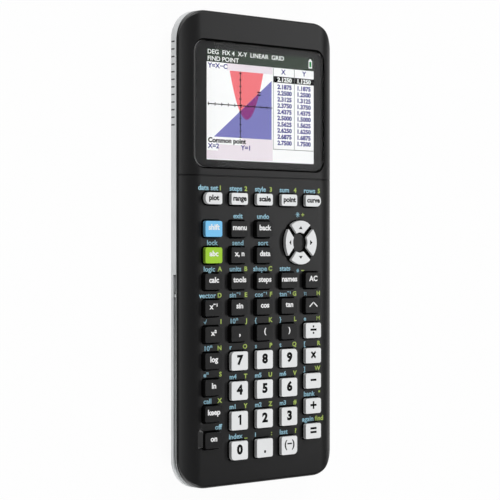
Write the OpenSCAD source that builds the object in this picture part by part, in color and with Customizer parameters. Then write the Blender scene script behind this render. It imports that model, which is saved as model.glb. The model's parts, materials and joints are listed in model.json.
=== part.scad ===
// Graphing calculator lying on its back on a table.
// X runs to the right, Y towards the display end, Z out of the keys. The table is Z = 0.

/* [Case] */
// Width across the sides
case_w = 86.8; // [85:0.2:89]
// Length from the keypad end to the display end
case_l = 190.6; // [189:0.2:196]
// Height from the table to the flat front face
case_t = 15.3; // [15.1:0.1:16.5]
// Radius of the four corners seen from the front
corner_r = 12.7; // [12:0.1:14]
// Wall of the rear shell
rear_wall = 2; // [1.8:0.1:2.2]
// Plate of the front shell around the keys
front_plate = 2.2; // [2:0.1:2.4]

/* [Rounded sides] */
// How far in from each side the front starts to fall away
front_roll_w = 10; // [8:0.5:10.5]
// How far the front falls to the parting line
front_roll_h = 3.8; // [3.4:0.1:3.8]
// How far in from each side the back starts to rise
rear_roll_w = 18; // [17:0.5:19]
// Upright part of the rear shell's side, just under the parting line
rear_side_h = 1.9; // [1.8:0.1:2.1]
// Upright part of the rear shell's ends, just under the parting line
rear_end_side = 3.2; // [3:0.1:3.4]
// Lean of the rear shell's ends and corners under that, in degrees
rear_end_tilt = 40; // [36:1:42]
// Height of the feet moulded on the back
foot_h = 0.5; // [0.3:0.1:0.7]

/* [Display] */
// Width of the display window
window_w = 73.2; // [72:0.2:73.6]
// Height of the display window
window_h = 50.4; // [50:0.2:51]
// Middle of the display window along the case
window_y = 58.1; // [57.5:0.1:58.5]
// Thickness of the display window
window_t = 1.3; // [1.1:0.1:1.4]

/* [Keys] */
// Spacing of the five key columns
col_pitch = 14.14; // [13.9:0.02:14.2]
// Spacing of the rows of small keys
row_pitch = 10.54; // [10.4:0.02:10.6]
// Spacing of the rows of number keys
number_pitch = 12.05; // [11.9:0.05:12.1]
// Width of a key
key_w = 9.1; // [8.8:0.02:9.2]
// Height of a small key, seen from the front
key_h = 6.4; // [6:0.1:6.5]
// Height of a number key
number_h = 7.6; // [7.2:0.02:7.7]
// Height of a key in the row under the display
soft_h = 4.8; // [4.4:0.02:5]
// How far the key tops stand above the face
key_rise = 1.9; // [1.6:0.1:2]
// How far a key goes down when it is pressed
key_travel = 1.2; // [1:0.1:1.2]
// Gap between a key and its opening
key_gap = 0.45; // [0.3:0.05:0.5]

/* [Arrow pad] */
// Outer radius of the four arrow keys
pad_r = 9.15; // [8.9:0.05:9.3]
// Radius of the disc inside them
pad_hub_r = 4.2; // [4:0.1:4.4]
// Width of the bars between two arrow keys
pad_bar = 2.3; // [2.1:0.1:2.5]

/* [Hidden] */
$fn = 48;

// How far shapes of one piece run into each other, and how far a cut runs past a face
weld = 0.1;
past = 1;
// Gap between pieces that fit together
fit = 0.1;

// Heights above the table
parting_z = case_t - front_roll_h;
ceiling_z = case_t - front_plate;
floor_z = foot_h + rear_wall;
board_z = 5;
board_t = 1.2;
board_top = board_z + board_t;
mat_t = 0.8;
mat_top = board_top + mat_t;
window_z = case_t - window_t;
key_top = case_t + key_rise;
flange_clear = 0.15;
flange_top = ceiling_z - flange_clear;
flange_t = 0.8;
stem_z = mat_top + key_travel + fit;

// Shape of the rolled sides: a small radius at the parting line runs into a large one
front_edge_r = 1.5;
rear_edge_r = 3.1;
rear_roll_h = parting_z - rear_side_h - foot_h;
front_end_r = 1.2;

// Height where the ends start to lean, and how far in they lie at height z, on a face drawn in by inset
function lean_z(inset) = parting_z - rear_end_side + inset * tan(rear_end_tilt / 2);
function end_lean(z, inset) = inset + max(0, lean_z(inset) - z) * tan(rear_end_tilt);

// Front shell
side_rim = 6;
end_rim = 2.2;
edge_wall = 2;
edge_wall_h = 1;
lip_t = 1;
lip_h = 1;
lip_gap = 0.1;
reveal_h = 0.6;
reveal_depth = 0.2;
seam_y = 29.4;
seam_w = 0.6;
seam_depth = 0.4;
moat_w = 0.7;
moat_depth = 1.1;
window_r = 5;
view_size = [63.4, 46.4];
view_r = 1;
view_x = 1.05;
guard_size = [2.7, 8.2];
guard_at = [-34.7, -75.8];
guard_rise = 1.6;

// Rear shell
grip_count = 12;
grip_pitch = 3;
grip_y = 49.2;
grip_w = 0.6;
grip_depth = 0.7;
grip_h = 6;
grip_drop = 0.9;
rail_y = -10.1;
rail_h = 1.6;
rail_drop = 0.15;
rail_depth = 1;
rail_end_x = 22;
rail_stop_l = 6.3;
rail_stop_depth = 1.4;
detent_root = 0.2;
detent_y = -18.4;
detent_size = [0.5, 1.2];
foot_r = 2.5;
foot_end_gap = 10.3;
foot_at = [22, case_l / 2 - foot_end_gap];

// Battery compartment behind the display
door_w = 37;
door_l = 52;
door_y = 56;
door_t = 1.2;
door_r = 3;
door_gap = 0.15;
bay_w = 33;
bay_l = 42;
bay_y = 59;
bay_r = 1.5;
bay_wall = 1;
bay_top = 6.8;
battery_size = [31, 40, 5];
battery_r = 2;
door_screw_y = 33.5;
door_screw_head_h = 0.8;
door_screw_tip_z = 3.8;
thumb_slot = [10, 1.4];
thumb_count = 3;
thumb_pitch = 2.6;
thumb_depth = 0.5;
thumb_y = 73.3;

// Screws that hold the two shells together
screw_x = 30;
screw_mid_y = 27.6;
screw_end_gap = 8.6;
screw_end_y = case_l / 2 - screw_end_gap;
screw_at = [for (y = [screw_end_y, screw_mid_y, -screw_end_y]) for (x = [-1, 1]) [x * screw_x, y]];
screw_r = 1;
screw_head_r = 1.9;
screw_head_h = 1.4;
screw_seat_z = 2.6;
screw_tip_z = 10.5;
screw_slot = [2.6, 0.6, 0.7];
screw_hole_end = 0.5;
boss_r = 2.75;
rear_boss_r = 3.1;
boss_root = 0.5;

// Circuit board
board_end_gap = end_lean(board_z, rear_wall) + 2 * fit;
board_side_gap = 8.5;
board_size = [case_w - 2 * board_side_gap, case_l - 2 * board_end_gap];
board_r = 5;
board_bay = [38, 48];
board_bay_y = 58;
board_bay_r = 1;
chip_at = [[26.5, 66], [26.5, 46], [-26.5, 62]];
chip_size = [[11, 11], [9, 14], [10, 10]];
chip_h = 1.1;

// Sockets in the display end
usb_x = 12;
jack_x = -12;
socket_end_gap = 11.9;
socket_y = case_l / 2 - socket_end_gap;
socket_h = 3.8;
socket_face = case_l / 2 - end_lean(board_top, 0) - fit;
socket_body_l = case_l / 2 - end_lean(board_top, rear_wall) - fit - socket_y;
socket_mid_z = board_top + socket_h / 2;
socket_hole_l = 8;
usb_w = 7.7;
usb_mouth = [6.9, 3.1];
usb_depth = 7;
usb_tongue = [5.2, 0.9];
usb_tongue_root = 0.5;
jack_w = 6.4;
jack_nose_r = 1.8;
jack_bore_r = 1.25;
jack_depth = 9;

// Silicone mat with a collar for the stem of each key
mat_size = [66, 110];
mat_y = -31;
mat_r = 4;
collar_r = 2.6;
collar_hole_r = 1.9;
stem_r = 1.6;
mat_boss_gap = 0.4;

// Display module
lcd_size = [67.6, 50];
lcd_r = 1;
lcd_t = 2.9;
lcd_glass = [62.6, 45.6];
lcd_glass_r = 0.6;
lcd_glass_t = 0.85;

// Key layout, from the row under the display down to the last row
soft_y = 20.32;
row_y0 = 8.1;
number_y0 = -45.1;
pad_x = 21.15;
pad_y = 2.8;
pad_recess_gap = 0.45;
pad_recess_r = pad_r + pad_recess_gap;
pad_recess_depth = 0.9;
pad_hub_drop = 0.3;
pad_gap = 0.35;
pad_grip = 0.9;
pad_bar_grip = 0.75;
arrow_stem_out = 0.2;
key_r = 0.9;
soft_end_r = 0.48 * soft_h;
number_block_r = 1.8;
flange_grip = 0.7;
flange_r = 1.2;

SOFT_KEYS = ["key_f1", "key_f2", "key_f3", "key_f4", "key_f5"];
ROWS = [
    ["key_shift", "key_menu", "key_delete"],
    ["key_letters", "key_variable", "key_list"],
    ["key_factorial", "key_function", "key_program", "key_recall", "key_clear"],
    ["key_inverse", "key_sine", "key_cosine", "key_tangent", "key_power"],
    ["key_square", "key_comma", "key_open_bracket", "key_close_bracket", "key_divide"],
    ["key_log", "", "", "", "key_multiply"],
    ["key_ln", "", "", "", "key_subtract"],
    ["key_store", "", "", "", "key_add"],
    ["key_on", "", "", "", "key_equals"]
];
NUMBERS = [
    ["key_7", "key_8", "key_9"],
    ["key_4", "key_5", "key_6"],
    ["key_1", "key_2", "key_3"],
    ["key_0", "key_point", "key_negative"]
];
ARROWS = ["key_right", "key_up", "key_left", "key_down"];

black = "#2a2a2c";
white = "#e6e7e9";
blue = "#5fb4e6";
green = "#8fc63a";
silver = "#b9bcc0";
window_black = "#1c1d20";
lcd_grey = "#9aa4a0";
silicone_grey = "#6e7174";
board_green = "#1f6b3f";
socket_steel = "#c9ccd0";
screw_steel = "#8d9094";
battery_blue = "#3b4a6b";

function col_x(col) = (col - 2) * col_pitch;
function row_colour(row, col) =
    col == 0 && row == 0 ? blue :
    col == 0 && row == 1 ? green :
    col == 4 && row > 3 ? white : black;

// Each key is [name, middle, size, corner radii from the top left clockwise, colour]
soft_keys = [for (c = [0:4])
    [SOFT_KEYS[c], [col_x(c), soft_y], [key_w, soft_h],
     [c == 0 ? soft_end_r : key_r, c == 4 ? soft_end_r : key_r,
      c == 4 ? soft_end_r : key_r, c == 0 ? soft_end_r : key_r], white]];
small_keys = [for (r = [0:len(ROWS) - 1]) for (c = [0:len(ROWS[r]) - 1]) if (ROWS[r][c] != "")
    [ROWS[r][c], [col_x(c), row_y0 - r * row_pitch], [key_w, key_h],
     [key_r, key_r, key_r, key_r], row_colour(r, c)]];
number_keys = [for (r = [0:3]) for (c = [0:2])
    [NUMBERS[r][c], [col_x(c + 1), number_y0 - r * number_pitch], [key_w, number_h],
     [r == 0 && c == 0 ? number_block_r : key_r, r == 0 && c == 2 ? number_block_r : key_r,
      r == 3 && c == 2 ? number_block_r : key_r, r == 3 && c == 0 ? number_block_r : key_r], white]];
KEYS = concat(soft_keys, small_keys, number_keys);

// Where the stem of an arrow key stands
arrow_stem_r = (pad_r + pad_hub_r) / 2 + arrow_stem_out;
function arrow_at(i) = [pad_x + arrow_stem_r * cos(90 * i), pad_y + arrow_stem_r * sin(90 * i)];
stems = concat([for (k = KEYS) k[1]], [for (i = [0:3]) arrow_at(i)]);

CASE_NODES = ["front_case", "rear_case", "display_window", "lcd_module", "key_membrane",
    "circuit_board", "io_sockets", "battery", "battery_door", "case_screws"];

// Rectangle with its own radius at each corner, from the top left clockwise
module soft_rect(size, radii) {
    difference() {
        square(size, center = true);
        for (c = [0:3]) {
            r = radii[c];
            turn = [90, 0, -90, 180][c];
            at = [[-1, 1], [1, 1], [1, -1], [-1, -1]][c];
            translate([at[0] * (size[0] / 2 - r), at[1] * (size[1] / 2 - r)])
                rotate(turn) difference() {
                    square(r + past);
                    circle(r);
                }
        }
    }
}

module even_rect(size, r) {
    soft_rect(size, [r, r, r, r]);
}

// Outline of the case from the front, drawn in by inset
module plan(inset = 0) {
    even_rect([case_w - 2 * inset, case_l - 2 * inset], corner_r - inset);
}

// What a rolled edge takes off a square corner at the origin: across a, down h, ending in radius r
module rolled_off(a, h, r) {
    big_r = ((a - r) * (a - r) + h * h - r * r) / (2 * (h - r));
    from = [-a, -big_r];
    run = [a - r, big_r - h] / (big_r - r);
    difference() {
        translate([-a, -h]) square([a + past, h + past]);
        intersection() {
            translate(from) circle(big_r);
            polygon([from, from + run * (big_r + 3 * past), [-a - past, 3 * past], [-a - past, -big_r]]);
        }
        translate([-r, -h]) circle(r);
    }
}

// Front shell across the case, in X and Z
module front_across(inset = 0) {
    half = case_w / 2 - inset;
    top = case_t - inset;
    difference() {
        translate([-half, parting_z]) square([2 * half, top - parting_z]);
        for (side = [0, 1]) mirror([side, 0]) translate([half, top])
            rolled_off(front_roll_w - inset, front_roll_h - inset, front_edge_r - inset);
    }
}

// Rear shell across the case, in X and Z
module rear_across(inset = 0) {
    half = case_w / 2 - inset;
    bottom = foot_h + inset;
    difference() {
        translate([-half, bottom]) square([2 * half, parting_z + inset - bottom]);
        for (side = [0, 1]) mirror([side, 0]) translate([half, bottom]) mirror([0, 1])
            rolled_off(rear_roll_w - inset, rear_roll_h - inset, rear_edge_r - inset);
    }
}

module along_y() {
    rotate([90, 0, 0]) linear_extrude(case_l + 2 * past, center = true) children();
}

module along_x() {
    rotate([90, 0, 90]) linear_extrude(case_w + 2 * past, center = true) children();
}

module front_solid() {
    intersection() {
        along_y() front_across();
        along_x() translate([0, parting_z]) even_rect([case_l, 2 * front_roll_h], front_end_r);
        translate([0, 0, parting_z]) linear_extrude(front_roll_h) plan();
    }
}

// Rear shell along the case, in Y and Z
module rear_along(inset = 0) {
    half = case_l / 2 - inset;
    top = parting_z + inset;
    bottom = foot_h + inset;
    foot = case_l / 2 - end_lean(bottom, inset);
    lean = lean_z(inset);
    polygon([[half, top], [-half, top], [-half, lean], [-foot, bottom], [foot, bottom], [half, lean]]);
}

// What the lean of the ends takes off the four corners, as they turn into the sides
module leaned_corners(inset = 0) {
    bottom = foot_h + inset;
    rise = lean_z(inset) - bottom;
    wide = corner_r - inset;
    for (x = [0, 1]) for (y = [0, 1]) mirror([x, 0, 0]) mirror([0, y, 0])
        translate([case_w / 2 - corner_r, case_l / 2 - corner_r, bottom]) difference() {
            translate([0, 0, -past]) cube([corner_r + past, corner_r + past, rise + past]);
            cylinder(r1 = corner_r - end_lean(bottom, inset), r2 = wide, h = rise);
        }
}

module rear_solid(inset = 0) {
    difference() {
        intersection() {
            along_y() rear_across(inset);
            along_x() rear_along(inset);
            translate([0, 0, foot_h]) linear_extrude(parting_z + inset - foot_h) plan(inset);
        }
        leaned_corners(inset);
    }
}

// Cap of an arrow key that points along +X, grown by grow and with half the bar given
module arrow_outline(grow, half_bar) {
    start = half_bar * sqrt(2);
    reach = 2 * pad_r;
    intersection() {
        difference() {
            circle(pad_r + grow);
            circle(pad_hub_r - grow);
        }
        polygon([[start, 0], [start + reach, reach], [start + reach, -reach]]);
    }
}

module arrow_outlines(grow, half_bar) {
    for (i = [0:3]) translate([pad_x, pad_y]) rotate(90 * i) arrow_outline(grow, half_bar);
}

module key_openings() {
    translate([0, 0, ceiling_z - past]) linear_extrude(front_plate + 2 * past) {
        for (k = KEYS) translate(k[1])
            soft_rect(k[2] + [2 * key_gap, 2 * key_gap], [for (r = k[3]) r + key_gap]);
        arrow_outlines(pad_gap, pad_bar / 2 - pad_gap);
    }
}

module pad_recess() {
    translate([pad_x, pad_y, case_t - pad_recess_depth]) difference() {
        cylinder(r = pad_recess_r, h = pad_recess_depth + past);
        cylinder(r = pad_hub_r - pad_gap, h = pad_recess_depth - pad_hub_drop);
    }
}

module window_seat() {
    seat = [window_w, window_h];
    translate([0, window_y, window_z])
        linear_extrude(window_t + past) even_rect(seat + [2 * fit, 2 * fit], window_r + fit);
    translate([0, window_y, case_t - moat_depth])
        linear_extrude(moat_depth + past) even_rect(seat + [2 * moat_w, 2 * moat_w], window_r + moat_w);
    translate([view_x, window_y, ceiling_z - past])
        linear_extrude(front_plate + past) even_rect(view_size, view_r);
}

// Shallow line across the front and down both sides, between the display and the keys
module seam() {
    difference() {
        translate([-case_w, seam_y - seam_w / 2, parting_z])
            cube([2 * case_w, seam_w, front_roll_h + past]);
        along_y() front_across(seam_depth);
    }
}

// Step along the parting line that leaves a dark gap between the shells
module reveal() {
    translate([0, 0, parting_z - past]) linear_extrude(reveal_h + past) difference() {
        plan(-past);
        plan(reveal_depth);
    }
}

module front_cavity() {
    translate([0, 0, parting_z - past]) linear_extrude(ceiling_z - parting_z + past)
        even_rect([case_w - 2 * side_rim, case_l - 2 * end_rim], corner_r - side_rim);
    translate([0, 0, parting_z - past]) linear_extrude(edge_wall_h + past) plan(edge_wall);
}

module front_lip() {
    outer = rear_wall + lip_gap;
    translate([0, 0, parting_z - lip_h]) linear_extrude(lip_h + edge_wall_h) difference() {
        plan(outer);
        plan(outer + lip_t);
    }
}

// Ramp that shields the last key on the left
module guard() {
    half = guard_size[0] / 2;
    translate([guard_at[0], guard_at[1], case_t]) rotate([90, 0, 0])
        linear_extrude(guard_size[1], center = true)
            polygon([[-half, -front_plate], [half, -front_plate], [half, guard_rise], [-half, 0]]);
}

module front_case() {
    color(black) difference() {
        union() {
            difference() {
                front_solid();
                front_cavity();
                seam();
                reveal();
            }
            front_lip();
            for (p = screw_at) translate([p[0], p[1], board_top + fit])
                cylinder(r = boss_r, h = ceiling_z - board_top);
            guard();
        }
        key_openings();
        pad_recess();
        window_seat();
        for (p = screw_at) translate([p[0], p[1], board_top - past])
            cylinder(r = screw_r + fit, h = screw_tip_z + screw_hole_end - board_top + past);
    }
}

module side_grips() {
    difference() {
        for (i = [0:grip_count - 1])
            translate([-case_w, grip_y + i * grip_pitch - grip_w / 2, parting_z - grip_drop - grip_h])
                cube([2 * case_w, grip_w, grip_h]);
        along_y() rear_across(grip_depth);
    }
}

// Groove for a slide-on cover, along both sides and round the corners of the keypad end
module cover_rails() {
    rail_z = parting_z - rail_drop - rail_h;
    stop_y = rail_y - rail_stop_l;
    translate([0, 0, rail_z]) linear_extrude(rail_h) difference() {
        translate([-case_w, -case_l]) square([2 * case_w, case_l + rail_y]);
        plan(rail_depth);
        translate([-rail_end_x, -case_l]) square([2 * rail_end_x, case_l]);
    }
    for (side = [0, 1]) mirror([side, 0, 0]) {
        translate([case_w / 2 - rail_stop_depth, stop_y, rail_z])
            cube([rail_stop_depth + past, rail_stop_l, rail_h]);
    }
}

module rail_detents() {
    from = [case_w / 2 - rail_depth - detent_root, detent_y - detent_size[1] / 2, parting_z - rail_h - past];
    for (side = [0, 1]) mirror([side, 0, 0])
        translate(from) cube([detent_size[0] + detent_root, detent_size[1], rail_h + past]);
}

module battery_bay() {
    translate([0, bay_y, 0]) linear_extrude(bay_top + past) even_rect([bay_w, bay_l], bay_r);
    translate([0, door_y, -past]) linear_extrude(foot_h + door_t + past) even_rect([door_w, door_l], door_r);
}

module rear_posts() {
    root_z = floor_z - boss_root;
    for (p = screw_at) translate([p[0], p[1], foot_h + past])
        cylinder(r = rear_boss_r, h = board_z - foot_h - past);
    translate([0, bay_y, root_z]) linear_extrude(bay_top - root_z)
        even_rect([bay_w + 2 * bay_wall, bay_l + 2 * bay_wall], bay_r + bay_wall);
    translate([0, door_screw_y, root_z]) cylinder(r = boss_r, h = board_z - fit - root_z);
    for (x = [-1, 1]) for (y = [-1, 1]) translate([x * foot_at[0], y * foot_at[1], 0])
        cylinder(r = foot_r, h = foot_h + past);
}

module screw_holes() {
    for (p = screw_at) translate([p[0], p[1], -past]) {
        cylinder(r = screw_head_r + 2 * fit, h = screw_seat_z + past);
        cylinder(r = screw_r + 2 * fit, h = board_z + 2 * past);
    }
    translate([0, door_screw_y, -past]) cylinder(r = screw_r + fit, h = door_screw_tip_z + fit + past);
}

module socket_holes() {
    hole_y = case_l / 2 + past - socket_hole_l;
    translate([usb_x - usb_w / 2 - fit, hole_y, board_top - fit])
        cube([usb_w + 2 * fit, socket_hole_l, socket_h + 2 * fit]);
    translate([jack_x, hole_y, socket_mid_z]) rotate([-90, 0, 0])
        cylinder(r = jack_nose_r + fit, h = socket_hole_l);
}

module rear_case() {
    color(silver) difference() {
        union() {
            difference() {
                rear_solid();
                rear_solid(rear_wall);
                side_grips();
                cover_rails();
            }
            intersection() {
                rail_detents();
                rear_solid();
            }
            rear_posts();
        }
        battery_bay();
        screw_holes();
        socket_holes();
    }
}

module display_window() {
    color(window_black) translate([0, window_y, window_z]) linear_extrude(window_t)
        even_rect([window_w, window_h], window_r);
}

module lcd_module() {
    top = ceiling_z - fit;
    color(lcd_grey) translate([view_x, window_y, 0]) {
        translate([0, 0, top - lcd_t]) linear_extrude(lcd_t) even_rect(lcd_size, lcd_r);
        translate([0, 0, top - weld]) linear_extrude(lcd_glass_t + weld) even_rect(lcd_glass, lcd_glass_r);
    }
}

module key_membrane() {
    color(silicone_grey) difference() {
        union() {
            translate([0, mat_y, board_top]) linear_extrude(mat_t) even_rect(mat_size, mat_r);
            for (p = stems) translate([p[0], p[1], board_top]) cylinder(r = collar_r, h = stem_z - board_top);
        }
        for (p = stems) translate([p[0], p[1], mat_top]) cylinder(r = collar_hole_r, h = stem_z);
        for (p = screw_at) translate([p[0], p[1], 0]) cylinder(r = boss_r + mat_boss_gap, h = case_t);
    }
}

module circuit_board() {
    color(board_green) {
        difference() {
            translate([0, 0, board_z]) linear_extrude(board_t) even_rect(board_size, board_r);
            translate([0, board_bay_y, board_z - past])
                linear_extrude(board_t + 2 * past) even_rect(board_bay, board_bay_r);
            for (p = screw_at) translate([p[0], p[1], board_z - past])
                cylinder(r = screw_r + 2 * fit, h = board_t + 2 * past);
        }
        for (i = [0:len(chip_at) - 1]) translate([chip_at[i][0], chip_at[i][1], board_top - weld])
            linear_extrude(chip_h + weld) square(chip_size[i], center = true);
    }
}

module io_sockets() {
    mid_z = socket_mid_z;
    tongue = [usb_tongue[0], usb_depth - 2 * usb_tongue_root, usb_tongue[1]];
    color(socket_steel) {
        difference() {
            translate([usb_x - usb_w / 2, socket_y, board_top])
                cube([usb_w, socket_face - socket_y, socket_h]);
            translate([usb_x - usb_mouth[0] / 2, socket_face - usb_depth, mid_z - usb_mouth[1] / 2])
                cube([usb_mouth[0], usb_depth + past, usb_mouth[1]]);
        }
        translate([usb_x - tongue[0] / 2, socket_face - usb_depth - usb_tongue_root, mid_z - tongue[2] / 2])
            cube(tongue);
        difference() {
            union() {
                translate([jack_x - jack_w / 2, socket_y, board_top]) cube([jack_w, socket_body_l, socket_h]);
                translate([jack_x, socket_y + past, mid_z]) rotate([-90, 0, 0])
                    cylinder(r = jack_nose_r, h = socket_face - socket_y - past);
            }
            translate([jack_x, socket_face - jack_depth, mid_z]) rotate([-90, 0, 0])
                cylinder(r = jack_bore_r, h = jack_depth + past);
        }
    }
}

module battery() {
    color(battery_blue) translate([0, bay_y, foot_h + door_t + fit]) linear_extrude(battery_size[2])
        even_rect([battery_size[0], battery_size[1]], battery_r);
}

// Screw with its head down, standing on its driver slots
module screw(seat_z, tip_z, head_h) {
    slot = screw_slot;
    difference() {
        union() {
            translate([0, 0, seat_z - head_h]) cylinder(r = screw_head_r, h = head_h);
            translate([0, 0, seat_z - weld]) cylinder(r = screw_r, h = tip_z - seat_z + weld);
        }
        for (a = [0, 90]) rotate(a) translate([-slot[0] / 2, -slot[1] / 2, seat_z - head_h - past])
            cube([slot[0], slot[1], slot[2] + past]);
    }
}

module battery_door() {
    seat_z = foot_h + door_screw_head_h + fit;
    color(silver) difference() {
        translate([0, door_y, foot_h]) linear_extrude(door_t - fit / 2)
            even_rect([door_w - 2 * door_gap, door_l - 2 * door_gap], door_r - door_gap);
        translate([0, door_screw_y, 0]) {
            cylinder(r = screw_head_r + fit, h = seat_z);
            cylinder(r = screw_r + fit, h = board_z);
        }
        for (i = [0:thumb_count - 1]) translate([-thumb_slot[0] / 2, thumb_y + i * thumb_pitch, 0])
            cube([thumb_slot[0], thumb_slot[1], foot_h + thumb_depth]);
    }
    color(screw_steel) translate([0, door_screw_y, 0]) screw(seat_z, door_screw_tip_z, door_screw_head_h);
}

module case_screws() {
    color(screw_steel) for (p = screw_at) translate([p[0], p[1], 0])
        screw(screw_seat_z, screw_tip_z, screw_head_h);
}

// Flange that holds a key in, and the stem that presses the mat
module key_foot(at) {
    translate([0, 0, flange_top - flange_t]) linear_extrude(flange_t) children();
    translate([at[0], at[1], stem_z]) cylinder(r = stem_r, h = flange_top - flange_t - stem_z + weld);
}

module key(k) {
    size = k[2];
    grip = 2 * (key_gap + flange_grip);
    color(k[4]) {
        translate([k[1][0], k[1][1], flange_top - weld])
            linear_extrude(key_top - flange_top + weld) soft_rect(size, k[3]);
        key_foot(k[1]) translate(k[1]) even_rect(size + [grip, grip], flange_r);
    }
}

module arrow_key(i) {
    color(white) {
        translate([pad_x, pad_y, flange_top - weld]) rotate(90 * i)
            linear_extrude(key_top - flange_top + weld) arrow_outline(0, pad_bar / 2);
        key_foot(arrow_at(i)) translate([pad_x, pad_y]) rotate(90 * i)
            arrow_outline(pad_grip, pad_bar / 2 - pad_bar_grip);
    }
}

front_case();
rear_case();
display_window();
lcd_module();
key_membrane();
circuit_board();
io_sockets();
battery();
battery_door();
case_screws();
for (k = KEYS) key(k);
for (i = [0:3]) arrow_key(i);
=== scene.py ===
import json
import math

import bpy
import numpy as np
from mathutils import Matrix, Vector
from mathutils.geometry import delaunay_2d_cdt

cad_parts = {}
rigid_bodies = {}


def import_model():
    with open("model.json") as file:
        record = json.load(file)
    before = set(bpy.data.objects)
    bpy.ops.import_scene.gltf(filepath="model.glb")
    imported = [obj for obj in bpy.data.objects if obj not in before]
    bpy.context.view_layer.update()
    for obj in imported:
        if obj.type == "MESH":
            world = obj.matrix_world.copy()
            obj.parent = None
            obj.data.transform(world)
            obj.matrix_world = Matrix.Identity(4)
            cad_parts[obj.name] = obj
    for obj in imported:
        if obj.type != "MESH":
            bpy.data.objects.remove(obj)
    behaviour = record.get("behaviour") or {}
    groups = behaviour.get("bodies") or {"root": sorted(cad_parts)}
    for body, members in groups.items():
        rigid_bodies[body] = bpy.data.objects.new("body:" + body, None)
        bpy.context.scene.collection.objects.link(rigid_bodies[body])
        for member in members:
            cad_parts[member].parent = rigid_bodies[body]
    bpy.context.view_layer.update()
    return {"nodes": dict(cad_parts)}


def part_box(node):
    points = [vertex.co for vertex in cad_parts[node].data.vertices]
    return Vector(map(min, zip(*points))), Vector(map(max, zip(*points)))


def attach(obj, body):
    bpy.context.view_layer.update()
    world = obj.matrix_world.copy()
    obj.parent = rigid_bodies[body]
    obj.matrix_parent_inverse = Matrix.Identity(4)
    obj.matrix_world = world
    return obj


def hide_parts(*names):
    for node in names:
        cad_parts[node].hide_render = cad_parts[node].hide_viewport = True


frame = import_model()

# All but the stage is worked out in millimetres, and turned into metres when a mesh is made
MM = 0.001


def span(node):
    """Lowest and highest corner of a CAD node."""
    low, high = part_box(node)
    return np.array(low) / MM, np.array(high) / MM


# Sizes read from the frame
HALF_W, HALF_L = span("rear_case")[1][:2]
FRONT_W = span("front_case")[1][0]
FACE = span("display_window")[1][2]
PARTING = span("rear_case")[1][2]
KEY_FOOT, KEY_TOP = (corner[2] for corner in span("key_5"))
WINDOW_LOW, WINDOW_HIGH = span("display_window")
WINDOW_AT = (WINDOW_LOW + WINDOW_HIGH)[:2] / 2
WINDOW_SIZE = (WINDOW_HIGH - WINDOW_LOW)[:2]
LCD_LOW, LCD_HIGH = span("lcd_module")
DISPLAY_AT = np.array([(LCD_LOW[0] + LCD_HIGH[0]) / 2, WINDOW_AT[1]])
PAD_LEFT, PAD_RIGHT = span("key_left")[0], span("key_right")[1]
PAD_AT = np.array([PAD_LEFT[0] + PAD_RIGHT[0], span("key_down")[0][1] + span("key_up")[1][1]]) / 2

# Sizes of the shells
CORNER_R = 12.7
ROLL_W = 10
ROLL_EDGE_R = 1.5
END_R = 1.2
# The power that blends the rolled sides into the rounded ends
BLEND = 4
PLATE = 2.2
EDGE_LAND = 0.05
REVEAL_H, REVEAL_D = 0.6, 0.1
KEY_LIP_R, LIP_R = 0.3, 0.1
# Shares of a lip's radius, and depths inside the rim, where the skin has a ring of points
KEY_LIP_RINGS, LIP_RINGS = (0.25, 0.55, 1), (0.35, 1)
STEP = 0.02
RIM_RINGS = (0, 0.05, REVEAL_D, REVEAL_D + STEP, 0.2, 0.3, 0.5, 0.75, 1.0, 1.25)
SEAM_Y, SEAM_W, SEAM_FLOOR, SEAM_DEPTH = 29.4, 0.6, 0.24, 0.4
WINDOW_R = 5
WINDOW_EDGE = 0.15
EDGE_BAND, EDGE_TOP, EDGE_FOOT = 0.05, 0.15, 0.9
BORDER_T, BORDER_R, BORDER_SHIFT = 0.02, 0.2, (-0.1, 0)
MOAT_W, MOAT_DEPTH = 0.7, 1.1
SEAT_FIT = 0.1
VIEW_SIZE, VIEW_R = np.array([63.4, 46.4]), 1
GUARD_AT, GUARD_HALF = np.array([-34.35, -75.3]), np.array([1.0, 3.9])
GUARD_RISE, GUARD_FALL, GUARD_NEAR, GUARD_FAR = 1.15, 0.3, 0.7, 1.4
# Depth below the bare front from which the front is painted matt black as shade
DEEP = 0.12
# Lines of points along the skin, how far they end from the rim, and the longest steps along them
ROLL_LINES, GUARD_LINES, KEEP_OFF, LINE_STEP, RIM_STEP = 9, 9, 1.6, 6, 8

# Rear edge, and the grooves that grip the fingers in it
FOOT_H, REAR_SIDE_H, REAR_ROLL_W, REAR_EDGE_R = 0.5, 1.9, 18, 3.1
GRIP_COUNT, GRIP_PITCH, GRIP_Y, GRIP_W = 12, 3, 49.2, 0.6
# How far below the parting the strips of painted shade in the grooves start, how far in they lie, and how
# much narrower than the grooves they are each side
GRIP_TOP, GRIP_SHADE, GRIP_FIT = 0.9, (0.1, 0.68), 0.03
# Degrees round the rear's large turn, where a groove's run starts and ends
GRIP_TURNS = 2, 8

# Sizes of the keys
KEY_GAP, FLANGE_GRIP, FLANGE_R = 0.45, 0.7, 1.2
KEY_R, BLOCK_R, SOFT_END = 0.9, 1.8, 0.48
FLANGE_CLEAR, FLANGE_T = 0.15, 0.8
FLANGE_TOP = FACE - PLATE - FLANGE_CLEAR
STEM_R = 1.6
CAP_DRAFT, CAP_EDGE = 0.03, 0.08
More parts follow.
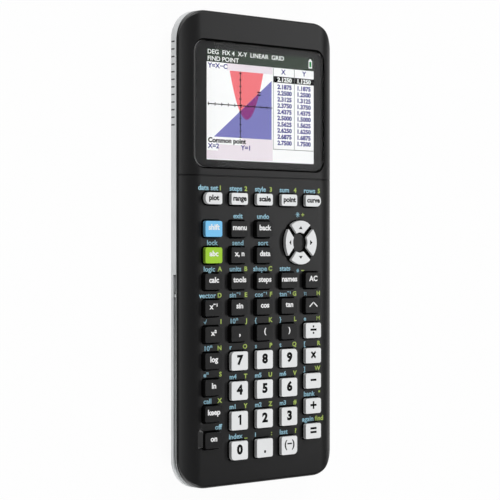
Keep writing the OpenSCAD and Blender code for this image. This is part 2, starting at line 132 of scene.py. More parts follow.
# Height of a key's wall that keeps its colour, on pale and on black keys; below it the wall is painted
# shade
PALE_WALL, DARK_WALL = 1.45, 0.25
PRINT_T = 0.03
PAD_GRIP, PAD_GAP = 0.9, 0.35
PAD_R = PAD_RIGHT[0] - PAD_AT[0] - PAD_GRIP
PAD_HUB_R, PAD_BAR, PAD_DISH = 4.2, 2.3, 0.7
PAD_BAR_GRIP = 0.75
PAD_CORNER_R, PAD_HOLE_R = 0.25, 0.3
PAD_STEM_OUT = 0.2
MARK_NEAR, MARK_FAR, MARK_HALF_W = 5.6, 6.8, 1.1
RECESS_R, RECESS_DEPTH = PAD_R + KEY_GAP, 0.9
HUB_R, HUB_DROP = PAD_HUB_R - PAD_GAP, 0.3
# Points around a stem and around the pad's recess
STEM_POINTS, RECESS_POINTS = 24, 72

# Camera of the photograph, in the frame's millimetres
VIEW_TILT = math.radians(43.6)
VIEW_DISTANCE, VIEW_ASIDE, VIEW_ALONG = 751.5, 4.866, -0.316
LENS, SENSOR = 132.11, 36

# Stage in metres: what the camera sees from and to, and the floor
CLIP = 0.05, 20
FLOOR_HALF = 6.0
FLOOR_WHITE, FLOOR_GLOW = 0.85, 0.95
# Surround: its levels from low to high, and its strengths from left to right
SKY_HEIGHTS, SKY_LEVELS = (0.55, 0.9), (0.14, 0.04)
SKY_SIDES, SKY_STRENGTHS = (-0.4, 0.4), (1.0, 0.1)
# Lamps: place, size across and along the case, and power
LAMPS = {
    "right_light": ((0.85, 0.28, 0.74), (0.32, 1.0), 1.95),
    "left_light": ((-0.5, 0.1, 0.98), (0.5, 0.8), 1.75),
    "far_light": ((0.0, 1.2, 1.0), (0.9, 0.9), 15.4),
    "near_light": ((0.0, -1.2, 1.0), (0.9, 0.9), 14.3),
}


# Materials

NOISE_RANGE = 0.3, 0.7
MOTTLE_GRAINS, GLOSS_DRIFT, GRAIN_DEPTH = 60, 0.05, 0.25
# How far a key's normal points up where its side begins and where its top does: the painted shade on its
# sides fades out between them
SIDE_TO_TOP = 0.2, 0.7
# Painted shade in the silver shell's grooves: how far it looks for cover, the range of cover it spans,
# and the shares of colour at its ends
GROOVE_REACH, GROOVE_SPAN, GROOVE_SHADE_SHARES = 1.5, (0.35, 0.8), (0.4, 1)
SMEAR_SIZE, SMEAR_ROUGHNESS, WINDOW_IOR = 9, (0, 0.012), 1.15
BACKLIGHT, UNLIT_SHARE, STRIPE_DRIFT = 0.86, 0.22, 0.03
# Length of a wave of the stripes at a scale of 1
WAVE_LENGTH = math.pi / 10


def set_inputs(node, values):
    """Gives the named sockets of a node their values."""
    for socket, value in values.items():
        node.inputs[socket].default_value = value


def new_material(name):
    """An empty node material: (material, nodes, links, shader, place on the piece)."""
    material = bpy.data.materials.new(name)
    material.use_nodes = True
    nodes, links = material.node_tree.nodes, material.node_tree.links
    shader = nodes["Principled BSDF"]
    place = nodes.new("ShaderNodeTexCoord").outputs["Object"]
    return material, nodes, links, shader, place


def noise(nodes, links, place, grain, detail=2.0):
    """Noise whose spots are about grain millimetres across."""
    node = nodes.new("ShaderNodeTexNoise")
    set_inputs(node, {"Scale": 1 / (grain * MM), "Detail": detail})
    links.new(place, node.inputs["Vector"])
    return node.outputs["Fac"]


def map_range(nodes, links, value, old, new):
    """A value carried from one range, its two ends, to another."""
    node = nodes.new("ShaderNodeMapRange")
    set_inputs(node, {"From Min": old[0], "From Max": old[1], "To Min": new[0], "To Max": new[1]})
    links.new(value, node.inputs["Value"])
    return node.outputs["Result"]


def tint(nodes, links, value, colour, amount):
    """Colour that drifts by amount either way with a noise value."""
    ramp = nodes.new("ShaderNodeValToRGB")
    for element, place, scale in zip(ramp.color_ramp.elements, NOISE_RANGE, (1 - amount, 1 + amount)):
        element.position = place
        element.color = [min(c * scale, 1) for c in colour] + [1]
    links.new(value, ramp.inputs["Fac"])
    return ramp.outputs["Color"]


def plastic(name, colour, roughness, grain=0.25, bump=0.1, mottle=0.06, metallic=0.0, specular=0.5):
    """Moulded plastic with a fine grain."""
    material, nodes, links, shader, place = new_material(name)
    fine = noise(nodes, links, place, grain)
    broad = noise(nodes, links, place, MOTTLE_GRAINS * grain, 4.0)
    gloss = roughness - GLOSS_DRIFT, roughness + GLOSS_DRIFT
    links.new(tint(nodes, links, broad, colour, mottle), shader.inputs["Base Color"])
    links.new(map_range(nodes, links, fine, NOISE_RANGE, gloss), shader.inputs["Roughness"])
    relief = nodes.new("ShaderNodeBump")
    set_inputs(relief, {"Strength": bump, "Distance": GRAIN_DEPTH * grain * MM})
    links.new(fine, relief.inputs["Height"])
    links.new(relief.outputs["Normal"], shader.inputs["Normal"])
    set_inputs(shader, {"Metallic": metallic, "Specular IOR Level": specular})
    return material


def paint_shade(material, value, limits, shares):
    """Scales a material's colour by two shares, at the two limits of a value, to paint shade into it."""
    nodes, links = material.node_tree.nodes, material.node_tree.links
    scaled = nodes.new("ShaderNodeVectorMath")
    scaled.operation = "SCALE"
    colour = nodes["Principled BSDF"].inputs["Base Color"]
    links.new(colour.links[0].from_socket, scaled.inputs[0])
    links.new(map_range(nodes, links, value, limits, shares), scaled.inputs["Scale"])
    links.new(scaled.outputs["Vector"], colour)


def key_plastic_painted_shade(name, colour, sides):
    """Plastic of a pale key, with painted shade that makes its sides darker than its top."""
    material = plastic(name, colour, 0.42, bump=0.05, mottle=0.03)
    nodes, links = material.node_tree.nodes, material.node_tree.links
    facing = nodes.new("ShaderNodeSeparateXYZ")
    links.new(nodes.new("ShaderNodeTexCoord").outputs["Normal"], facing.inputs[0])
    paint_shade(material, facing.outputs["Z"], SIDE_TO_TOP, (sides, 1))
    return material


def shell_plastic_painted_shade(name, colour):
    """Metallic plastic with painted shade that makes it darker down in its grooves."""
    material = plastic(name, colour, 0.45, bump=0.06, metallic=0.3)
    groove_shade = material.node_tree.nodes.new("ShaderNodeAmbientOcclusion")
    groove_shade.inputs["Distance"].default_value = GROOVE_REACH * MM
    paint_shade(material, groove_shade.outputs["AO"], GROOVE_SPAN, GROOVE_SHADE_SHARES)
    return material


def clear_plastic(name):
    """Clear plate with a coating against reflections and a trace of handling."""
    material, nodes, links, shader, place = new_material(name)
    smear = noise(nodes, links, place, SMEAR_SIZE, 5.0)
    links.new(map_range(nodes, links, smear, NOISE_RANGE, SMEAR_ROUGHNESS), shader.inputs["Roughness"])
    set_inputs(shader, {"Base Color": (0.97, 0.98, 0.98, 1), "Transmission Weight": 1, "IOR": WINDOW_IOR})
    return material


def lit_pixels(name, colour):
    """Backlit display colour with the faint stripes of its pixel columns."""
    material, nodes, links, shader, place = new_material(name)
    stripes = nodes.new("ShaderNodeTexWave")
    stripes.inputs["Scale"].default_value = WAVE_LENGTH / (2 * PIXEL[0] * MM)
    links.new(place, stripes.inputs["Vector"])
    glow = tint(nodes, links, stripes.outputs["Fac"], colour, STRIPE_DRIFT)
    links.new(glow, shader.inputs["Emission Color"])
    unlit = [UNLIT_SHARE * c for c in colour] + [1]
    set_inputs(shader, {"Emission Strength": BACKLIGHT, "Base Color": unlit, "Roughness": 0.5,
                        "Specular IOR Level": 0})
    return material


def srgb(red, green, blue):
    """Linear colour of an 8-bit screen colour."""
    return [((c / 255 + 0.055) / 1.055) ** 2.4 if c > 10 else c / 255 / 12.92 for c in (red, green, blue)]


# Display picture: its size on the glass, its shift from the display's middle and its grid of dots
PICTURE_SIZE, PICTURE_SHIFT = np.array([60.95, 44.5]), (-0.12, 0.02)
PICTURE_AT = DISPLAY_AT + PICTURE_SHIFT
DOTS = np.array([320, 240])
PIXEL = PICTURE_SIZE / DOTS

CASE_BLACK = plastic("case_black", (0.0062, 0.0062, 0.0066), 0.36)
# Matt near-black painted as shade in gaps, recesses, the reveal, the feet of keys and inside the window's
# edge
GAP_SHADE = plastic("gap_painted_shade", (0.003, 0.003, 0.003), 0.8, specular=0.1)
# Silver of the rear, with painted shade down in its grooves
CASE_SILVER = shell_plastic_painted_shade("case_silver", (0.72, 0.735, 0.74))
# Grey painted as shade in the grip grooves
GRIP_PAINTED_SHADE = plastic("grip_painted_shade", (0.1, 0.1, 0.1), 0.6, specular=0.2)
KEY_BLACK = plastic("key_black", (0.0068, 0.0068, 0.0072), 0.4, bump=0.06, specular=0.44)
# Keys with painted shade on their sides: the last number is the share of colour left there
KEY_WHITE = key_plastic_painted_shade("key_white", (0.81, 0.82, 0.825), 0.65)
KEY_BLUE = key_plastic_painted_shade("key_blue", srgb(122, 198, 243), 0.6)
KEY_GREEN = key_plastic_painted_shade("key_green", srgb(158, 205, 48), 0.6)
PRINT_WHITE = plastic("print_white", (0.86, 0.86, 0.86), 0.5, bump=0.02, mottle=0.03)
PRINT_BLACK = plastic("print_black", (0.004, 0.004, 0.004), 0.6, bump=0.02, specular=0.12)
PRINT_BLUE = plastic("print_blue", srgb(158, 206, 224), 0.5, bump=0.02)
PRINT_GREEN = plastic("print_green", srgb(168, 190, 92), 0.5, bump=0.02)
MASK_BLACK = plastic("mask_black", (0.0062, 0.0062, 0.0066), 0.36, bump=0.02)
# Frosted edge of the window, its grey partly a painted highlight of the plate's bevel
EDGE_FROST_AND_HIGHLIGHT = plastic("edge_frost_and_painted_highlight", (0.38, 0.38, 0.385), 0.5, bump=0.02)
WINDOW_CLEAR = clear_plastic("window_clear")


# Outlines: each is a pair of arrays, points and the normals that point out of them

CORNERS = np.array([(1, 1), (-1, 1), (-1, -1), (1, -1)])


def arc(centre, radius, start, end, count):
    """Points along an arc and the directions out of its centre, angles in degrees."""
    angle = np.radians(np.linspace(start, end, count))
    out = np.stack([np.cos(angle), np.sin(angle)], 1)
    return np.array(centre) + radius * out, out


def circle(centre, radius, count):
    """Outline of a circle."""
    return arc(centre, radius, 0, 360 - 360 / count, count)


def rounded_rect(centre, size, radii, count=7):
    """Outline with its own radius at each corner, from the top right anticlockwise."""
    runs = []
    for corner, radius in enumerate(radii):
        at = centre + CORNERS[corner] * (np.array(size) / 2 - radius)
        runs.append(arc(at, radius, 90 * corner, 90 * corner + 90, count))
    return tuple(np.concatenate(part) for part in zip(*runs))


def around_window(gap):
    """Outline at some distance around the window."""
    return rounded_rect(WINDOW_AT, WINDOW_SIZE + 2 * gap, [WINDOW_R + gap] * 4, count=9)


def arrow_outline(outer, inner, half_bar, corner, quarter):
    """Outline of one arrow key about the pad's centre, turned by quarter turns."""
    offset = half_bar * math.sqrt(2) + corner * math.sqrt(2)

    def on_line(radius):
        """Where the line a corner radius inside the straight side meets a circle."""
        x = (offset + math.sqrt(2 * radius ** 2 - offset ** 2)) / 2
        return np.array([x, x - offset])

    far, near = on_line(outer - corner), on_line(inner + corner)
    far_turn, near_turn = (math.degrees(math.atan2(p[1], p[0])) for p in (far, near))
    rim = arc((0, 0), outer, 0, far_turn, count=9)
    far_corner = arc(far, corner, far_turn, 135, count=5)
    near_corner = arc(near, corner, 135, 180 + near_turn, count=5)
    hub = arc((0, 0), inner, near_turn, 0, count=6)
    upper = [np.concatenate(part) for part in zip(rim, far_corner, near_corner, (hub[0], -hub[1]))]
    points, normals = (np.concatenate([part, part[-2:0:-1] * (1, -1)]) for part in upper)
    turn = np.array(Matrix.Rotation(math.pi / 2 * quarter, 2))
    return PAD_AT + points @ turn.T, normals @ turn.T


def inset(outline, amount):
    return outline[0] - amount * outline[1]


# Meshes

def new_object(name, data):
    """An object in the scene."""
    made = bpy.data.objects.new(name, data)
    bpy.context.scene.collection.objects.link(made)
    return made


def loft(rings, band=False):
    """Closed solid through rings of (points, height), from the bottom up or around a band."""
    count, levels = len(rings[0][0]), len(rings)
    points = np.concatenate([np.column_stack([ring, np.full(count, height)]) for ring, height in rings])
    faces = []
    for level in range(levels if band else levels - 1):
        low, high = level * count, (level + 1) % levels * count
        for i in range(count):
            j = (i + 1) % count
            faces.append([low + i, low + j, high + j, high + i])
    if not band:
        faces = [list(range(count))[::-1], *faces, list(range(len(points) - count, len(points)))]
    return points, faces


def rounded_top(outline, foot, top, edge, draft=0.0, steps=4):
    """Rings of a block that leans in by draft and ends in a rounded edge."""
    rings = [(outline[0], foot), (inset(outline, draft), top - edge)]
    for i in range(1, steps + 1):
        turn = math.pi / 2 * i / steps
        ring = inset(outline, draft + edge * (1 - math.cos(turn)))
        rings.append((ring, top - edge * (1 - math.sin(turn))))
    return rings


def join(parts):
    """One set of points and faces from several."""
    points, faces = [], []
    for part_points, part_faces in parts:
        start = sum(len(p) for p in points)
        points.append(np.asarray(part_points))
        faces += [[start + i for i in face] for face in part_faces]
    return np.concatenate(points), faces


def make_piece(name, parts, material, body="case", stands_for=(), sharp=35, second=None):
    """A piece that rides on a body, from parts in millimetres; second is (material, its faces)."""
    points, faces = join(parts)
    mesh = bpy.data.meshes.new(name)
    mesh.from_pydata((points * MM).tolist(), [], faces)
    mesh.shade_smooth()
    mesh.set_sharp_from_angle(angle=math.radians(sharp))
    mesh.materials.append(material)
    if second:
        mesh.materials.append(second[0])
        for face in second[1]:
            mesh.polygons[face].material_index = 1
    piece = new_object(name, mesh)
    even = piece.modifiers.new("even_shading", "WEIGHTED_NORMAL")
    even.mode = "FACE_AREA_WITH_ANGLE"
    even.keep_sharp = True
    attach(piece, body)
    if stands_for:
        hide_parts(*stands_for)


# Height of the capitals as a share of the type's size
CAP_SHARE = 0.69
# Letters whose shape can't be made bolder
SLIM = "Mπ√"


def lettering(text, height, at, top, align="CENTER", wide=1.0, bold=0.0):
    """Thin print with capitals of that height, whose middle, or its end by align, is at a place."""
    curve = bpy.data.curves.new("print", "FONT")
    curve.body = text
    curve.size = height / CAP_SHARE
    curve.align_x = align
    curve.extrude = PRINT_T / 2
    curve.offset = 0 if any(letter in SLIM for letter in text) else bold
    curve.resolution_u = 3
    line = new_object("print", curve)
    graph = bpy.context.evaluated_depsgraph_get()
    mesh = bpy.data.meshes.new_from_object(line.evaluated_get(graph))
    points = np.array([v.co for v in mesh.vertices]).reshape(-1, 3)
    faces = [list(p.vertices) for p in mesh.polygons]
    bpy.data.batch_remove((line, curve, mesh))
    points[:, 0] = points[:, 0] * wide + at[0]
    points[:, 1] += at[1] - height / 2
    points[:, 2] += top - PRINT_T / 2
    return points, faces


# Front shell: a skin over the plan of the case, with its openings cut out, closed underneath

def roll_drop(across):
    """Fall of the rolled sides, by the distance past the flat face: a large arc into a small one."""
    high = FACE - PARTING
    run = ROLL_W - ROLL_EDGE_R
    large = (run ** 2 + high ** 2 - ROLL_EDGE_R ** 2) / (2 * (high - ROLL_EDGE_R))
    meet = large * run / (large - ROLL_EDGE_R)
    past = np.clip(across, 0, ROLL_W)
    on_large = large - np.sqrt(large ** 2 - np.minimum(past, meet) ** 2)
    on_small = high - np.sqrt(np.clip(ROLL_EDGE_R ** 2 - (past - run) ** 2, 0, None))
    return np.where(past < meet, on_large, on_small)


def edge_drop(inside, radius):
    """Fall of an edge rounded to radius, by the distance inside it."""
    left = np.clip(radius - inside, 0, radius)
    return radius - np.sqrt(radius ** 2 - left ** 2)


def rect_distance(points, centre, size, radius):
    """Distance outside a rounded rectangle, negative inside it."""
    gap = np.abs(points - centre) - np.array(size) / 2 + radius
    return np.linalg.norm(np.maximum(gap, 0), axis=1) + np.minimum(gap.max(axis=1), 0) - radius


def depth_inside(points):
    """Distance from the rim of the front."""
    return -rect_distance(points, np.zeros(2), (2 * FRONT_W, 2 * HALF_L), CORNER_R)


def eased(share):
    """Share from 0 to 1 that starts and ends level."""
    return share ** 2 * (3 - 2 * share)


def sloped(share, rounding=0.2):
    """Straight ramp from 0 to 1 with rounded ends."""
    foot = share ** 2 / (2 * rounding * (1 - rounding))
    crest = 1 - (1 - share) ** 2 / (2 * rounding * (1 - rounding))
    middle = (share - rounding / 2) / (1 - rounding)
    return np.where(share < rounding, foot, np.where(share > 1 - rounding, crest, middle))


def guard_rise(points):
    """Ramp beside the last key, with soft ends."""
    across, along = (points - GUARD_AT).T
    ramp = np.clip((across + GUARD_HALF[0]) / (2 * GUARD_HALF[0]), 0, 1)
    fall = np.clip((GUARD_HALF[0] + GUARD_FALL - across) / GUARD_FALL, 0, 1)
    near = np.clip((GUARD_HALF[1] + along) / GUARD_NEAR, 0, 1)
    far = np.clip((GUARD_HALF[1] - along) / GUARD_FAR, 0, 1)
    return GUARD_RISE * np.minimum(sloped(ramp), eased(fall)) * eased(near) * eased(far)


def bare_height(points):
    """Height of the front without any opening."""
    roll = roll_drop(np.abs(points[:, 0]) - HALF_W + ROLL_W)
    drop = (roll ** BLEND + edge_drop(depth_inside(points), END_R) ** BLEND) ** (1 / BLEND)
    return np.maximum(FACE - drop, PARTING + REVEAL_H + EDGE_LAND) + guard_rise(points)


def outline_distance(points, loop):
    """Distance from points to a closed loop."""
    start, run = loop, np.roll(loop, -1, axis=0) - loop
    along = ((points[:, None] - start) * run).sum(2) / (run ** 2).sum(1)
    nearest = start + np.clip(along, 0, 1)[:, :, None] * run
    return np.linalg.norm(points[:, None] - nearest, axis=2).min(axis=1)


def within(points, loop):
    """True for points inside a closed loop."""
    x, y = points[:, :1], points[:, 1:]
    (ax, ay), (bx, by) = loop.T, np.roll(loop, -1, axis=0).T
    with np.errstate(divide="ignore", invalid="ignore"):
        crossing = ((ay > y) != (by > y)) & (x < (bx - ax) * (y - ay) / (by - ay) + ax)
    return crossing.sum(axis=1) % 2 == 1


def front_height(points, lips):
    """Height of the skin, with its lips, the window's seat and the pad's recess."""
    height = bare_height(points)
    for loop, radius in lips:
        close = np.all((points > loop.min(0) - radius) & (points < loop.max(0) + radius), axis=1)
        height[close] -= edge_drop(outline_distance(points[close], loop), radius)
    window = rect_distance(points, WINDOW_AT, WINDOW_SIZE, WINDOW_R)
    height = np.where(window < MOAT_W - STEP / 2, np.minimum(height, FACE - MOAT_DEPTH), height)
    height = np.where(window < SEAT_FIT + STEP / 2, WINDOW_LOW[2], height)
    pad = np.linalg.norm(points - PAD_AT, axis=1)
    height = np.where(pad < RECESS_R - STEP / 2, FACE - RECESS_DEPTH, height)
    return np.where(pad < HUB_R + STEP / 2, FACE - HUB_DROP, height)


def subdivide(loop, step, closed=True):
    """The same line with extra points, none further apart than step."""
    ends = np.roll(loop, -1, axis=0) if closed else loop[1:]
    rows = []
    for a, b in zip(loop, ends):
        pieces = max(1, math.ceil(np.linalg.norm(b - a) / step))
        rows += [a + (b - a) * i / pieces for i in range(pieces)]
    return np.array(rows if closed else rows + [loop[-1]])


def skin_lines():
    """Lines where the skin bends: on the rolled sides, at the seam and over the guard."""
    lines = []
    for across in range(ROLL_LINES):
        x = HALF_W - ROLL_W + across
        bend = max(0, x - HALF_W + CORNER_R)
        y = HALF_L - CORNER_R + math.sqrt((CORNER_R - KEEP_OFF) ** 2 - bend ** 2)
        for side in (-1, 1):
            lines.append(subdivide(np.array([(side * x, -y), (side * x, y)]), LINE_STEP, closed=False))
    for offset in (-SEAM_W, -SEAM_FLOOR, SEAM_FLOOR, SEAM_W):
        y = SEAM_Y + offset / 2
        lines.append(np.array([(-FRONT_W, y), (FRONT_W, y)]))
    reach = GUARD_HALF + (GUARD_FALL, 0)
    for share in np.linspace(0, 1, GUARD_LINES):
        x = GUARD_HALF[0] * (2 * share - 1)
        lines.append(GUARD_AT + np.array([(x, -reach[1]), (x, reach[1])]))
        for y in (share * GUARD_NEAR - reach[1], reach[1] - share * GUARD_FAR):
            lines.append(GUARD_AT + np.array([(-GUARD_HALF[0], y), (reach[0], y)]))
    return lines


def front_skin(holes, lips):
    """Triangles of the front's plan: (points, triangles)."""
    plan = rounded_rect(np.zeros(2), (2 * FRONT_W, 2 * HALF_L), [CORNER_R] * 4, count=15)
    loops = [subdivide(inset(plan, depth), RIM_STEP) for depth in RIM_RINGS] + list(holes) + list(lips)
    loops += [around_window(gap)[0] for gap in (MOAT_W - STEP, SEAT_FIT, SEAT_FIT + STEP)]
    loops += [circle(PAD_AT, r, RECESS_POINTS)[0] for r in (RECESS_R - STEP, HUB_R, HUB_R + STEP)]
    points, edges = [], []
    for line, closed in [(l, True) for l in loops] + [(l, False) for l in skin_lines()]:
        start = len(points)
        points += line.tolist()
        edges += [(start + i, start + i + 1) for i in range(len(line) - 1)]
        if closed:
            edges.append((start + len(line) - 1, start))
    all_triangles, merge_within = 0, 1e-5
    found = delaunay_2d_cdt(points, edges, [], all_triangles, merge_within)
    points, triangles = np.array(found[0]), np.array(found[2])
    middle = points[triangles].mean(axis=1)
    keep = np.ones(len(triangles), bool)
    for hole in holes:
        close = np.all((middle > hole.min(0)) & (middle < hole.max(0)), axis=1)
        keep[close] &= ~within(middle[close], hole)
    return points, triangles[keep]


def close_under(points, top, bottom, triangles):
    """Solid between a skin and the surface under it."""
    count = len(points)
    edges = dict.fromkeys(e for a, b, c in triangles.tolist() for e in ((a, b), (b, c), (c, a)))
    rim = [edge for edge in edges if (edge[1], edge[0]) not in edges]
    faces = triangles.tolist() + (triangles[:, ::-1] + count).tolist()
    faces += [[b, a, a + count, b + count] for a, b in rim]
    return np.concatenate([top, np.column_stack([points, bottom])]), faces


def drop_loose(points, faces):
    """The same solid without points that no face uses."""
    used = sorted({i for face in faces for i in face})
    place = {old: new for new, old in enumerate(used)}
    return points[used], [[place[i] for i in face] for face in faces]


def front_shell(openings):
    """The whole front moulding, matt black in its gaps, recesses and reveal as painted shade."""
    view = rounded_rect(DISPLAY_AT, VIEW_SIZE, [VIEW_R] * 4, count=4)
    arrows = [arrow_outline(PAD_R + PAD_GAP, HUB_R, PAD_BAR / 2 - PAD_GAP, PAD_HOLE_R, quarter)
              for quarter in range(4)]
    moat = around_window(MOAT_W)
    recess = circle(PAD_AT, RECESS_R, RECESS_POINTS)
    edges = [(o[0], KEY_LIP_R) for o in openings] + [(moat[0], LIP_R), (recess[0], LIP_R)]
    rings = [inset(o, -share * KEY_LIP_R) for o in openings for share in KEY_LIP_RINGS]
    rings += [inset(o, -share * LIP_R) for o in (moat, recess) for share in LIP_RINGS]
    holes = [o[0] for o in openings] + [view[0]] + [a[0] for a in arrows]
    points, triangles = front_skin(holes, [moat[0], recess[0]] + rings)
    height = front_height(points, edges)
    small = 0.01
    slope = [(bare_height(points + step) - bare_height(points - step)) / (2 * small)
             for step in (np.array([small, 0]), np.array([0, small]))]
    normal = np.column_stack([-slope[0], -slope[1], np.ones(len(points))])
    normal /= np.linalg.norm(normal, axis=1)[:, None]
    rise = (SEAM_W / 2 - np.abs(points[:, 1] - SEAM_Y)) / ((SEAM_W - SEAM_FLOOR) / 2)
    top = np.column_stack([points, height]) - SEAM_DEPTH * np.clip(rise, 0, 1)[:, None] * normal
    bottom = np.maximum(PARTING, np.minimum(FACE - PLATE, bare_height(points) - PLATE))
    in_reveal = depth_inside(points) < REVEAL_D + STEP / 2
    bottom = np.where(in_reveal, PARTING + REVEAL_H, bottom)
    shell = drop_loose(*close_under(points, top, bottom, triangles))
    hub = np.linalg.norm(points - PAD_AT, axis=1) < HUB_R + STEP / 2
    deep = ((bare_height(points) - height)[triangles].max(axis=1) > DEEP) & ~hub[triangles].all(axis=1)
    # Faces in painted shade: those sunk below the bare front, but for the hub, and those of the reveal
    painted_shade = np.concatenate([deep, in_reveal[triangles].any(axis=1)])
    make_piece("front_shell", [shell], CASE_BLACK, stands_for=["front_case"],
               second=(GAP_SHADE, np.nonzero(painted_shade)[0].tolist()))


# Keys

# Corners with a larger radius: the outer ends of the soft keys, and the corners of the number block
SOFT_ENDS = {"f1": (1, 2), "f5": (0, 3)}
BLOCK_CORNERS = {"9": 0, "7": 1, "0": 2, "negative": 3}


def corner_radii(name, size):
    """Radii of a key's corners, from the top right anticlockwise."""
    radii = [KEY_R] * 4
    for corner in SOFT_ENDS.get(name, ()):
        radii[corner] = SOFT_END * size[1]
    if name in BLOCK_CORNERS:
        radii[BLOCK_CORNERS[name]] = BLOCK_R
    return radii


def key_plan(name):
    """(middle, size, corner radii) of a key's cap."""
    low, high = span("key_" + name)
    size = (high - low)[:2] - 2 * (KEY_GAP + FLANGE_GRIP)
    return (low + high)[:2] / 2, size, corner_radii(name, size)


def make_cap(name, cap, flange, stem_at, material, shaped=lambda part: part):
    """A key: its cap with a foot in painted shade, the flange that holds it in and the stem that presses
    the mat.
    """
    top = KEY_TOP - PRINT_T
    wall = DARK_WALL if material == KEY_BLACK else PALE_WALL
    foot = [(flange[0], FLANGE_TOP - FLANGE_T), (flange[0], FLANGE_TOP), (cap[0], FLANGE_TOP)]
    rings = foot + rounded_top(cap, top - wall, top, CAP_EDGE, CAP_DRAFT)
    stem = circle(stem_at, STEM_R, STEM_POINTS)[0]
    parts = [shaped(loft(rings)), loft([(stem, KEY_FOOT), (stem, FLANGE_TOP - FLANGE_T / 2)])]
    painted_shade = (GAP_SHADE, range(1 + len(foot) * len(cap[0])))
    node = "key_" + name
    make_piece("cap_" + name, parts, material, node, [node], second=painted_shade)


def legend(name, parts, material):
    make_piece("legend_" + name, parts, material, "key_" + name, sharp=60)


ARROWS = ["right", "up", "left", "down"]

# Each key: its legend, the second one above its left side and the letter above its right side
LEGENDS = {
    "f1": ("plot", "data set", "1"), "f2": ("range", "steps", "2"),
    "f3": ("scale", "style", "3"), "f4": ("point", "sum", "4"), "f5": ("curve", "rows", "5"),
    "shift": ("shift", "", ""), "menu": ("menu", "exit", ""), "delete": ("back", "undo", ""),
    "letters": ("abc", "lock", ""), "variable": ("x, n", "send", ""),
    "list": ("data", "sort", ""),
    "factorial": ("calc", "logic", "A"), "function": ("tools", "units", "B"),
    "program": ("steps", "shape", "C"), "recall": ("names", "stats", ""),
    "clear": ("AC", "", ""),
    "inverse": ("x⁻¹", "vector", "D"), "sine": ("sin", "sin⁻¹", "E"),
    "cosine": ("cos", "cos⁻¹", "F"), "tangent": ("tan", "tan⁻¹", "G"),
    "power": ("^", "π", "H"),
    "square": ("x²", "√", "I"), "comma": (",", "10ⁿ", "J"),
    "open_bracket": ("(", "{", "K"), "close_bracket": (")", "}", "L"),
    "divide": ("÷", "e", "M"),
    "log": ("log", "10ⁿ", "N"), "7": ("7", "r", "O"), "8": ("8", "s", "P"),
    "9": ("9", "t", "Q"), "multiply": ("×", "[", "R"),
    "ln": ("ln", "eⁿ", "S"), "4": ("4", "m4", "T"), "5": ("5", "m5", "U"),
    "6": ("6", "m6", "V"), "subtract": ("−", "]", "W"),
    "store": ("keep", "call", "X"), "1": ("1", "m1", "Y"), "2": ("2", "m2", "Z"),
    "3": ("3", "m3", "#"), "add": ("+", "bank", "\""),
    "on": ("on", "off", ""), "0": ("0", "index", "_"), "point": (".", "i", ":"),
    "negative": ("(−)", "last", "?"), "equals": ("=", "again", "find"),
}
KEYS = [name for name in (node.removeprefix("key_") for node in frame["nodes"]) if name in LEGENDS]
LEGEND_H, DIGIT_H, SIGN_H, SOFT_LEGEND_H = 2.1, 3.5, 3.0, 2.0
LEGEND_LIFT, DIGIT_LIFT, SIGN_LIFT, SOFT_LIFT = 0.75, 0.45, 0.35, 0.3
LABEL_H, LABEL_GAP, LABEL_BETWEEN = 1.75, 0.55, 0.9
WORD_H, WORD_BOLD = 1.95, 0.07
LABEL_START, LABEL_LEAN, WORD_LEAN, LABEL_BOLD, LABEL_WIDE = 0.55, 1.3, 3.2, 0.09, 1.2
LEGEND_WIDE, DIGIT_WIDE = 1.15, 1.16
LEGEND_BOLD, DIGIT_BOLD, SOFT_BOLD = 0.1, 0.28, 0.11
# Stars above and below the arrow pad, as (place along the case, reach, sign beside it)
STARS = (14.4, 1.15, "+"), (-8.9, 0.8, "−")
STAR_LEFT, STAR_SIGN_RIGHT, STAR_W = 0.4, 2.6, 0.22
# Signs drawn as strokes, each from one end to the other and its width
BAR = 0.85
SIGNS = {
    "divide": [(-1.8, 0, 1.8, 0, BAR), (-0.4, 1.35, 0.4, 1.35, 0.8), (-0.4, -1.35, 0.4, -1.35, 0.8)],
    "multiply": [(-1.25, -1.25, 1.25, 1.25, BAR), (-1.25, 1.25, 1.25, -1.25, BAR)],
    "subtract": [(-1.7, 0, 1.7, 0, BAR)],
    "add": [(-1.8, 0, 1.8, 0, BAR), (0, -1.6, 0, 1.6, BAR)],
    "equals": [(-1.8, 0.8, 1.8, 0.8, BAR), (-1.8, -0.8, 1.8, -0.8, BAR)],
    "power": [(-2.3, -0.9, 0.15, 1.15, 0.5), (-0.15, 1.15, 2.3, -0.9, 0.5)],
    "point": [(-0.5, -1.8, 0.5, -1.8, 1.0)],
    "1": [(0.3, -2.05, 0.3, 2.05, 1.0), (-0.9, 1.1, 0.3, 1.7, 0.65)],
}
COLOURED = {"shift": (KEY_BLUE, "key_blue"), "letters": (KEY_GREEN, "key_green")}
WHITE_KEYS = ["divide", "multiply", "subtract", "add", "equals", "point", "negative"]
# Labels over the middle of their key, and how much higher than the others
CENTRED = {"menu": 0.3, "delete": 0.3, "letters": 0, "variable": 0, "list": 0}


def key_look(name):
    """(material, slot, print) of a key; f1 to f5 and the numbers are white too."""
    if name in COLOURED:
        return *COLOURED[name], PRINT_WHITE
    if name in WHITE_KEYS or name.removeprefix("f").isdigit():
        return KEY_WHITE, "key_white", PRINT_BLACK
    return KEY_BLACK, "key_black", PRINT_WHITE


def legend_size(name):
    """(height, lift above the middle, widening, boldness) of a key's legend."""
    if name.isdigit():
        return DIGIT_H, DIGIT_LIFT, DIGIT_WIDE, DIGIT_BOLD
    if name.removeprefix("f").isdigit():
        return SOFT_LEGEND_H, SOFT_LIFT, LEGEND_WIDE, SOFT_BOLD
    height = SIGN_H if name in ("negative", "comma") else LEGEND_H
    return height, LEGEND_LIFT, LEGEND_WIDE, LEGEND_BOLD


